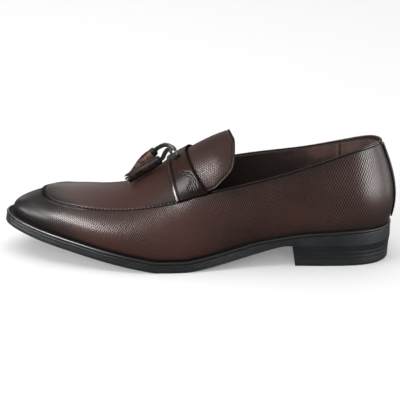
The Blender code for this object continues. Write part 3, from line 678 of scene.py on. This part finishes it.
# Tongue. A shaped piece of the embossed calf, lined, that stands up behind the strap; its edge
# is bound with a narrow roll and stitched a few millimetres in.
TONGUE = np.array([
    (155.0, -30.8, 56.5, 169.4, 3.0, 76.8, 157.0, 29.8, 61.5),
    (147.0, -31.0, 58.6, 162.4, 3.0, 81.2, 148.5, 30.4, 65.0),
    (139.1, -30.6, 62.0, 154.2, 3.0, 86.0, 140.5, 31.0, 68.6),
    (131.8, -28.6, 69.1, 146.5, 3.0, 90.4, 133.0, 30.5, 72.8),
    (123.2, -25.3, 75.2, 138.5, 3.0, 94.0, 129.0, 28.5, 77.6),
    (120.1, -18.5, 85.6, 129.5, 3.0, 97.6, 128.0, 22.0, 85.0),
])
TONGUE_CORNER, TONGUE_ROUNDING, TONGUE_THICKNESS, TONGUE_ROLL = 0.3, 2.2, 2.0, 1.2
TONGUE_SEAM, TONGUE_PITCH, TONGUE_STITCH, TONGUE_THREAD, UNSEWN = 0.06, 1.9, 1.4, 0.22, 90


def tongue(j, r):
    """Tongue: arches over its crest, j rows from its root; its end is drawn in along quarter ellipses."""
    row = open_curve(TONGUE, j)
    near_end = np.clip((j - len(TONGUE) + 1 + TONGUE_ROUNDING) / TONGUE_ROUNDING, 0, 1)
    corner = TONGUE_CORNER * (1 - np.sqrt(1 - near_end**2))
    return arch_over(row[..., 0:3], row[..., 3:6], row[..., 6:9], corner + (1 - 2 * corner) * r)


def tongue_edge(inset):
    """Line a little inside the free edge: up the lateral side, across the end, down the medial side."""
    end, count = (len(TONGUE) - 1) * (1 - inset), 260
    share = np.linspace(0, 1, count)
    side = end * np.sin(share * np.pi / 2)
    j = np.concatenate([side, np.full(count, end), side[::-1]])
    r = np.concatenate([np.full(count, inset), inset + (1 - 2 * inset) * share, np.full(count, 1 - inset)])
    return j, r


def half_round(x):
    """Half circle over the stretch from 0 to 1, and nothing outside it."""
    return np.sqrt(np.clip(1 - (2 * x - 1) ** 2, 0, None))


j, r = grid((len(TONGUE) - 1) * np.sin(np.linspace(0, np.pi / 2, 70)), crowded(71))
skin = tongue(j, r)
out = facing(tongue, np.clip(j, 0.01, len(TONGUE) - 1.01), np.clip(r, 0.004, 0.996))
off_edge = nearest(skin, tongue(*tongue_edge(0.0)))
roll = 0.4 * half_round(0.5 + off_edge / TONGUE_ROLL / 2) - 0.35 * bell(off_edge, TONGUE_ROLL + 0.3, 0.5)
low = ramp(skin[..., 2], 86, 72)
tongue_piece = shell(
    "tongue_leather", skin, out, roll, -TONGUE_THICKNESS, BROWN_CALF, "tongue", flat_map(skin),
    # Darker at the root: painted shade where the tongue comes out from under the strap. Also darker along the
    # edge.
    {"burnish_and_shade": 0.45 + 0.45 * np.exp(-off_edge / 1.6) + 0.35 * ramp(j, 1.2, 0.2),
     "gloss": 0.05 + 0.38 * low,
     "emboss": (0.05 + 0.4 * low) * (1 - bell(off_edge, 0, 2.2))})
places = spaced(tongue(*tongue_edge(TONGUE_SEAM))[UNSEWN:-UNSEWN], TONGUE_PITCH)
piece = stitch_row("tongue_stitches", places, unit(places - INSIDE), TONGUE_STITCH, TONGUE_THREAD)


# Saddle strap. Smooth polished calf laid over the back of the apron from seam to seam; both long
# edges are rolled, the front one wide and the back one over a cord, and the side is creased.
# Each crease is its place from the front edge and the end, its turn, its reach and its depth.
STRAP_FRONT, STRAP_BACK, STRAP_END, STRAP_THICKNESS = 6.08, 7.04, 0.006, 1.6
STRAP_SWEEP, FRONT_ROLL, BACK_ROLL = 0.09, 2.8, 1.1
CREASE_WIDTH, CREASE_BEND = 0.5, 0.05
CREASES = [
    (9.8, 23.0, 4, 3.6, 0.14), (14.2, 21.9, -12, 3.2, 0.168), (12.2, 20.3, 0, 2.6, 0.098),
    (17.4, 19.0, -44, 2.6, 0.168), (15.4, 17.6, -40, 2.0, 0.112), (19.0, 14.2, -74, 3.0, 0.21),
    (17.5, 12.6, -80, 2.8, 0.252), (16.1, 10.8, -83, 2.7, 0.266), (14.7, 9.3, 94, 2.3, 0.252),
    (13.3, 8.1, 97, 1.9, 0.21), (11.9, 7.2, 101, 1.5, 0.154), (18.4, 8.2, 92, 2.2, 0.224),
    (16.7, 7.0, 95, 2.0, 0.224), (15.2, 5.9, 90, 1.6, 0.168),
]
LACE_HOLES = {"lateral": (6.49, 0.408), "medial": (6.64, 0.418)}
finish = Finish("polished calf", coat_roughness=0.22, specular_ior_level=0.0)
cloud = finish.noise(60.0, 4.0)
tone = (finish.value("burnish_and_shade") + (cloud - 0.5) * 0.6).between(0.0, 1.0)
finish.feed("Base Color", tone.mix((0.05, 0.0215, 0.0175, 1), (0.0095, 0.0063, 0.0056, 1)))
finish.feed("Roughness", 0.4 + cloud * 0.12)
finish.feed("Coat Weight", finish.value("gloss"))
creases = finish.noise(700.0, 4.0) * finish.value("crease") + finish.noise(3000.0, 2.0) * 0.15
finish.relief(creases, 0.0004)
POLISHED_CALF = finish.material


def strap_skin(k, r):
    """Apron under the strap: the front edge sweeps forward towards both ends, the back edge stays."""
    sweep = STRAP_SWEEP * (STRAP_BACK - k) / (STRAP_BACK - STRAP_FRONT)
    return apron(k - sweep * (2 * r - 1) ** 2, r)


k, r = grid(STRAP_FRONT + (STRAP_BACK - STRAP_FRONT) * crowded(90),
            np.linspace(STRAP_END, 1 - STRAP_END, 260))
skin, out = strap_skin(k, r), facing(strap_skin, k, r)
from_front, girth = running_length(skin, 0), running_length(skin, 1)
from_back, side_girth = from_front[-1:] - from_front, np.minimum(girth, girth[:, -1:] - girth)
front_roll, back_roll = from_front < FRONT_ROLL, from_back < BACK_ROLL
crest = bell(r, 0.5, 0.16)
top = 0.45 * half_round(from_front / FRONT_ROLL) - 0.35 * bell(from_front, FRONT_ROLL + 0.4, 0.45)
top += 0.35 * half_round(from_back / BACK_ROLL) * (1 - 0.8 * crest)
top -= 0.4 * bell(from_back, BACK_ROLL + 0.2, 0.4)
creased = np.zeros_like(top)
for across_strap, up_strap, turned_by, reach, deep in CREASES:
    ahead, above = from_front - across_strap, side_girth - up_strap
    c, s = np.cos(np.radians(turned_by)), np.sin(np.radians(turned_by))
    lengthwise = ahead * c + above * s
    sideways = above * c - ahead * s + CREASE_BEND * lengthwise**2
    creased += deep * bell(lengthwise, 0, reach) * bell(sideways, 0, CREASE_WIDTH)
holes = sum(np.exp(-np.sum((skin - apron(*np.array(hole))) ** 2, -1) / 1.6) for hole in LACE_HOLES.values())
top -= creased + 0.9 * holes
# Darker on the back roll, partly its own dark edge and partly painted shade of the gap before the tongue;
# darker in the lace holes, the creases and the groove behind the front roll, as painted shade; also darker
# towards the top and both ends, and lighter on the front roll.
burnish_and_shade = 0.5 - 0.3 * front_roll + 0.4 * back_roll + holes + creased + 0.3 * ramp(side_girth, 24, 20)
burnish_and_shade += 0.5 * bell(side_girth, 0, 5) + bell(from_front, FRONT_ROLL + 0.5, 0.8)
gloss = 0.04 + 0.15 * crest + 0.125 * ramp(side_girth, 4, 9) * ramp(side_girth, 25, 21)
gloss += 0.6 * front_roll * ramp(side_girth, 16, 7)
strap = shell(
    "strap_leather", skin, out, GAP + STRAP_THICKNESS + top, GAP, POLISHED_CALF, "saddle_strap",
    (from_front, r),
    {"burnish_and_shade": burnish_and_shade, "gloss": gloss * (from_back > BACK_ROLL + 0.3), "crease": 0.12 + creased})


# Collar binding. A narrow strip of polished calf folded over a cord along the edge of the
# quarters, from the throat round the heel and back.
BINDING_BACK, BINDING_SIDE, BINDING_LIFT, BINDING_END = 1.3, 0.75, 0.25, 4.9


def roll_along(name, path, side, up, section, material, node, values=None):
    """Closed section (side, up), one for all or one a point, carried along a path with flat ends."""
    section = np.broadcast_to(section, (len(path), *section.shape[-2:]))
    points = path[:, None] + section[..., :1] * side[:, None] + section[..., 1:] * up[:, None]
    return add_piece(name, points, tube_corners(*points.shape[:2]), material, node, None, values)


turn = turns(14)
circle = np.stack([np.cos(turn), np.sin(turn)], -1)
at = np.linspace(-BINDING_END, BINDING_END, 300)
edge = np.full_like(at, 0.999)
out = facing(wall, at, edge - 0.004)
radius = (BINDING_SIDE + (BINDING_BACK - BINDING_SIDE) * ramp(np.abs(at), 3, 1))[:, None]
path = wall(at, edge) - WALL / 2 * out + (GAP + BINDING_LIFT + radius) * UP
way = unit(np.gradient(path, axis=0))
side = unit(out - np.sum(out * way, -1, keepdims=True) * way)
near = ramp(at, 0.5, 1.5)[:, None] + 0 * turn
gloss = 0.15 + 0.15 * near + 0.7 * bell(at, 1.1, 0.4)[:, None]
binding = roll_along(
    "binding", path, side, np.cross(side, way), radius[:, None] * circle, POLISHED_CALF, "collar_binding",
    {"burnish_and_shade": 0.45 + 0.55 * near, "crease": 0.12 + 0 * near, "gloss": gloss})


# Back strip. A narrow strip of black polished calf sewn over the back seam, from the collar down
# to the welt.
STRIP_HALF, STRIP_THICKNESS, STRIP_FOOT, STRIP_TOP = 0.25, 1.2, 0.06, 0.985
at, t = grid(np.linspace(-STRIP_HALF, STRIP_HALF, 25), np.linspace(STRIP_FOOT, STRIP_TOP, 60))
skin, out = wall(at, t), facing(wall, at, t)
crown = GAP + STRIP_THICKNESS - 0.5 * np.abs(at / STRIP_HALF) ** 6
strip = shell(
    "back_strip_leather", skin, out, crown, GAP, POLISHED_CALF, "back_strip", (at, t),
    {"burnish_and_shade": 1.1, "crease": 0.1, "gloss": 0.4})


# Tassels. Each is a strip of calf cut into a fringe and rolled up round the lace's end, bound at
# the neck with a few turns of lace. The medial one is brown, the lateral one nearly black.
SHARE, LATERAL, MEDIAL = range(3)
SKIRT = np.array([
    (0.0, 2.6, 2.5), (0.03, 3.3, 3.2), (0.12, 3.7, 3.6), (0.23, 4.0, 4.4), (0.37, 4.15, 4.8),
    (0.53, 4.15, 4.5), (0.7, 4.1, 3.7), (0.87, 4.0, 2.8), (0.98, 3.9, 2.4),
])
TASSELS = {
    "lateral": ((182.9, -1.0, 74.9), (209.7, 2.5, 57.1), LATERAL),
    "medial": ((187.7, 11.5, 78.5), (207.9, 12.0, 57.3), MEDIAL),
}
HEAD_OUTLINE = np.array(
    [(0.0, 0.75), (0.0, 0.9), (0.3, 1.0), (1.0, 1.05), (3.4, 1.0), (4.0, 0.9), (4.0, 0.7)])
FRINGE, FRINGE_THICKNESS, FRINGE_TOP = 11, 0.9, 3.4


def tassel_axis(side):
    """Head of a tassel and three unit directions: down its axis, level across it, and upright."""
    head, end = (np.array(p) for p in TASSELS[side][:2])
    way = unit(end - head)
    level = unit(np.cross(way, UP))
    return head, way, level, np.cross(level, way)


def tassel_length(side):
    """Distance from a tassel's head to its free end."""
    return np.linalg.norm(np.subtract(*TASSELS[side][:2]))


def skirt_radius(side, depth):
    """Radius of a tassel at a depth below its head, read off its outline."""
    return np.interp(depth / tassel_length(side), SKIRT[:, SHARE], SKIRT[:, TASSELS[side][2]])


def turned(side, depth, radius, count):
    """Closed ring-shaped skin: a closed row of depths and radii turned about the tassel's axis."""
    head, way, level, upright = tassel_axis(side)
    turn = turns(count)[:, None]
    ring = np.cos(turn) * level + np.sin(turn) * upright
    points = head + depth[:, None, None] * way + radius[:, None, None] * ring
    return points, band_corners(len(depth), count, wrap_rows=True, wrap_columns=True)


def tassel_head(side):
    """Bound head: the skirt's radius times the outline's share, swelling at each turn of lace."""
    length = running_length(HEAD_OUTLINE * (1, 3), 0)
    place = np.linspace(0, length[-1], 60)
    depth, share = (np.interp(place, length, column) for column in HEAD_OUTLINE.T)
    radius = share * skirt_radius(side, depth) + 0.14 * np.abs(np.sin(np.pi * depth / 1.1)) * (share > 0.95)
    return turned(side, depth, radius, 28)


def squared_off(wave, power):
    """Wave pushed out towards a square one: its size raised to a power under one, with its own sign."""
    return np.sign(wave) * np.abs(wave) ** power


def tassel_fringe(side):
    """Strips of the fringe: a flat section carried down the skirt at each strip's angle, all at once."""
    head, way, level, upright = tassel_axis(side)
    strip, down, turn = np.arange(FRINGE)[:, None, None], np.linspace(0, 1, 26)[:, None], turns(10)
    end = 0.98 * tassel_length(side) + 0.7 * np.sin(strip * 2.4 + 1)
    depth = FRINGE_TOP + (end - FRINGE_TOP) * down
    radius = skirt_radius(side, depth) - FRINGE_THICKNESS / 2 + 0.3 * np.sin(strip * 1.9) * down
    half_angle = 0.9 * np.pi / FRINGE
    angle = 2 * np.pi * strip / FRINGE + 0.45 * down + 0.06 * np.sin(strip * 3.1 + 5 * down)
    wide = squared_off(np.cos(turn), 0.5)
    reach = radius + squared_off(np.sin(turn), 0.5) * FRINGE_THICKNESS / 2
    spread = angle + wide * half_angle
    points = head + depth[..., None] * way + (reach * np.cos(spread))[..., None] * level
    points = points + (reach * np.sin(spread))[..., None] * upright
    one = [face[::-1] for face in tube_corners(down.size, turn.size)]
    edge = ramp(np.abs(wide), 0.8, 1.0) * (np.sin(strip * 5.3) > -0.2)
    cut, edge = (np.broadcast_to(value, reach.shape) for value in (down > 0.985, edge))
    return points, copies(one, down.size * turn.size, FRINGE), cut, edge


def tassel_core(side):
    """Roll inside the fringe, under its strips, with a bore for the lace."""
    depth = np.array([0.1, 0.11, 0.3, 0.47, 0.67, 0.83, 0.93, 0.93, 0.47]) * tassel_length(side)
    share = np.array([0.55, 0.6, 0.72, 0.74, 0.74, 0.73, 0.72, 0.5, 0.46])
    return turned(side, depth, share * skirt_radius(side, depth), 20)


def tassel_leather(name, brown, black, tan):
    """Half-gloss streaky calf, tan at the strips' cut edges, black at the head, pale grey at the ends:
    raw cut leather there, with a painted highlight.
    """
    finish = Finish(name, specular_ior_level=0.12)
    streak = finish.noise(260.0, 4.0)
    colour = streak.between(0.4, 0.64).mix(black, brown)
    colour = (finish.value("edge") * streak.between(0.4, 0.6)).mix(colour, tan)
    colour = finish.value("head").mix(colour, (0.006, 0.0055, 0.0055, 1))
    # Pale grey at the cut ends: the raw cut leather, partly a painted highlight.
    finish.feed("Base Color", finish.value("cut").mix(colour, (0.24, 0.215, 0.205, 1)))
    finish.feed("Roughness", 0.38 + streak * 0.16)
    finish.relief(finish.noise(1800.0), 0.00012)
    return finish.material


TASSEL_FINISHES = {
    "lateral": ("dark_tassel_leather", (0.024, 0.0115, 0.0085, 1), (0.0048, 0.0036, 0.0033, 1),
                (0.07, 0.036, 0.025, 1)),
    "medial": ("brown_tassel_leather", (0.125, 0.054, 0.036, 1), (0.018, 0.0095, 0.0075, 1),
               (0.27, 0.13, 0.08, 1)),
}
for side, (slot, *colours) in TASSEL_FINISHES.items():
    (head, head_faces), (core, core_faces) = tassel_head(side), tassel_core(side)
    strips, strip_faces, cut, edge = tassel_fringe(side)
    parts = [part.reshape(-1, 3) for part in (head, core, strips)]
    first, second = np.cumsum([len(part) for part in parts[:2]])
    faces = [*head_faces, *(core_faces + first), *(np.array(f) + second for f in strip_faces)]
    values = {"cut": np.concatenate([np.zeros(second), cut.ravel()]),
              "edge": np.concatenate([np.zeros(second), edge.ravel()]),
              "head": np.arange(second + cut.size) < first}
    material = tassel_leather(f"{side} tassel calf", *colours)
    add_piece(
        f"tassel_{side}_fringe", np.concatenate(parts), faces, material, f"tassel_{side}", None, values)


# Tassel laces. Two ends of square-cut leather lace that come out of the strap, bend over in a
# short loop and go down into the heads of the tassels.
LACE_SEAT, LACE_WIDE, LACE_THICK, LACE_RADIUS = 12.6, 1.75, 0.6, 1.2
LACES = {
    "lateral": [(174.5, -5.0, 82.0), (175.8, -5.0, 84.7), (179.3, -3.2, 80.7)],
    "medial": [(171.4, -1.5, 82.3), (175.3, 1.5, 84.7), (180.3, 6.5, 84.2), (184.4, 9.5, 81.6)],
}


def lace_route(side):
    """Natural spline from the strap through the free points to the seat in the tassel's head."""
    k, r = np.array(LACE_HOLES[side])
    start = apron(k, r) + (2 * GAP + STRAP_THICKNESS + LACE_RADIUS / 2) * facing(apron, k, r)
    head, way = tassel_axis(side)[:2]
    rows = np.array([start, *LACES[side], *(head + way * depth for depth in (-2.0, 2.0, 7.0, LACE_SEAT))])
    return open_curve(rows, np.linspace(0, len(rows) - 1, 60))


finish = Finish("lace leather", specular_ior_level=0.4)
cloud = finish.noise(300.0)
finish.feed("Base Color", cloud.mix((0.008, 0.007, 0.007, 1), (0.028, 0.025, 0.024, 1)))
finish.feed("Roughness", 0.36 + cloud * 0.14)
finish.relief(finish.noise(2200.0, 2.0), 0.00008)
turn = turns(16)
section = np.stack(
    [squared_off(np.cos(turn), 0.6) * LACE_WIDE, squared_off(np.sin(turn), 0.6) * LACE_THICK], -1)
for side in LACES:
    path = lace_route(side)
    run = running_length(path, 0)
    way = unit(np.gradient(path, axis=0))
    level = unit(np.array([0.0, 1.0, 0.0]) - way[:, 1:2] * way)
    twist = np.pi / 2 * ramp(run, 3, 10)[:, None]
    wide = np.cos(twist) * level + np.sin(twist) * np.cross(way, level)
    lace = roll_along(
        f"lace_{side}", path, wide, np.cross(way, wide), section, finish.material, f"tassel_lace_{side}")
    to_world(path[0])
    to_world(path)


# Stage. A plain white floor that glows a little, a broad soft light overhead, two fill lights, and
# lights that only shine in the polish, round the toe, beside the heel and behind; the camera stands
# level with the lateral side, a little above.
finish = Finish(
    "white floor", roughness=0.9, base_color=(0.75, 0.75, 0.75, 1), specular_ior_level=0.0,
    emission_color=(1, 1, 1, 1), emission_strength=0.18)
floor_mesh = bpy.data.meshes.new("floor")
floor_mesh.from_pydata([(-6, -6, 0), (6, -6, 0), (6, 6, 0), (-6, 6, 0)], [], [(0, 1, 2, 3)])
floor_mesh.materials.append(finish.material)
floor = put("floor", floor_mesh)
floor.visible_glossy = False


def aim(thing, target):
    """Turns a light or camera, which look down their own -Z, at a target in metres."""
    way = thing.location - type(thing.location)(target)
    thing.rotation_euler = way.to_track_quat("Z", "Y").to_euler()


for name, place, target, size, power, lights, shines in (
    ("overhead", (-0.5, 0.8, 2.5), (-0.5, 0.8, 0.0), (4.0, 4.0), 84.0, True, True),
    ("front fill", (0.0, -2.2, 0.9), (0.0, 0.0, 0.05), (2.5, 1.2), 34.0, True, False),
    ("toe fill", (-2.1, -1.2, 0.7), (-0.1, 0.0, 0.0), (1.5, 1.2), 40.0, True, False),
    ("toe side", (-1.04, -0.551, 0.972), (-0.06, -0.03, 0.04), (0.34, 0.3), 12.0, False, True),
    ("toe corner", (-1.32, -0.427, 0.457), (-0.1, -0.03, 0.04), (0.3, 0.3), 9.0, False, True),
    ("vamp side", (-0.835, -0.778, 1.01), (-0.06, -0.03, 0.04), (0.28, 0.4), 15.0, False, True),
    ("strap side", (-0.8, -0.493, 1.198), (-0.06, -0.03, 0.04), (0.36, 0.36), 13.0, False, True),
    ("toe end", (-1.427, -0.042, 0.11), (-0.13, -0.02, 0.035), (0.4, 0.18), 4.5, False, True),
    ("heel side", (1.108, -0.714, 0.2), (0.13, -0.03, 0.06), (0.7, 0.5), 6.0, False, True),
    ("heel round", (1.26, -0.47, 0.3), (0.13, -0.03, 0.06), (1.05, 0.8), 26.0, False, True),
    ("heel rim", (1.2, 0.42, 0.2), (0.13, 0.0, 0.06), (0.5, 0.8), 4.5, False, True),
    ("behind", (0.0, 2.2, 0.95), (0.0, 0.0, 0.05), (3.6, 1.3), 24.0, False, True),
):
    light = bpy.data.lights.new(name, "AREA")
    light.shape = "RECTANGLE"
    (light.size, light.size_y), light.energy = size, power
    lamp = put(name, light)
    lamp.location = place
    lamp.visible_diffuse, lamp.visible_glossy = lights, shines
    aim(lamp, target)
world = bpy.data.worlds.new("studio")
world.use_nodes = True
background = world.node_tree.nodes["Background"].inputs
background["Color"].default_value = (1, 1, 1, 1)
background["Strength"].default_value = 0.16
scene = bpy.context.scene
scene.world = world
scene.view_settings.view_transform = "Standard"

AZIMUTH, ELEVATION, DISTANCE = np.radians(2.5), np.radians(18.5), 1.1
TARGET = to_world((152.0, 0.0, 41.2))
PICTURE, SHIFT_ACROSS, SHIFT_UP = 400, -0.5, 0.6
camera_data = bpy.data.cameras.new("camera")
camera_data.sensor_width, camera_data.lens = 36.0, 126.75
camera_data.shift_x, camera_data.shift_y = SHIFT_ACROSS / PICTURE, SHIFT_UP / PICTURE
camera = put("camera", camera_data)
level = np.cos(ELEVATION)
camera.location = TARGET + DISTANCE * np.array(
    [np.sin(AZIMUTH) * level, -np.cos(AZIMUTH) * level, np.sin(ELEVATION)])
aim(camera, TARGET)
scene.camera = camera
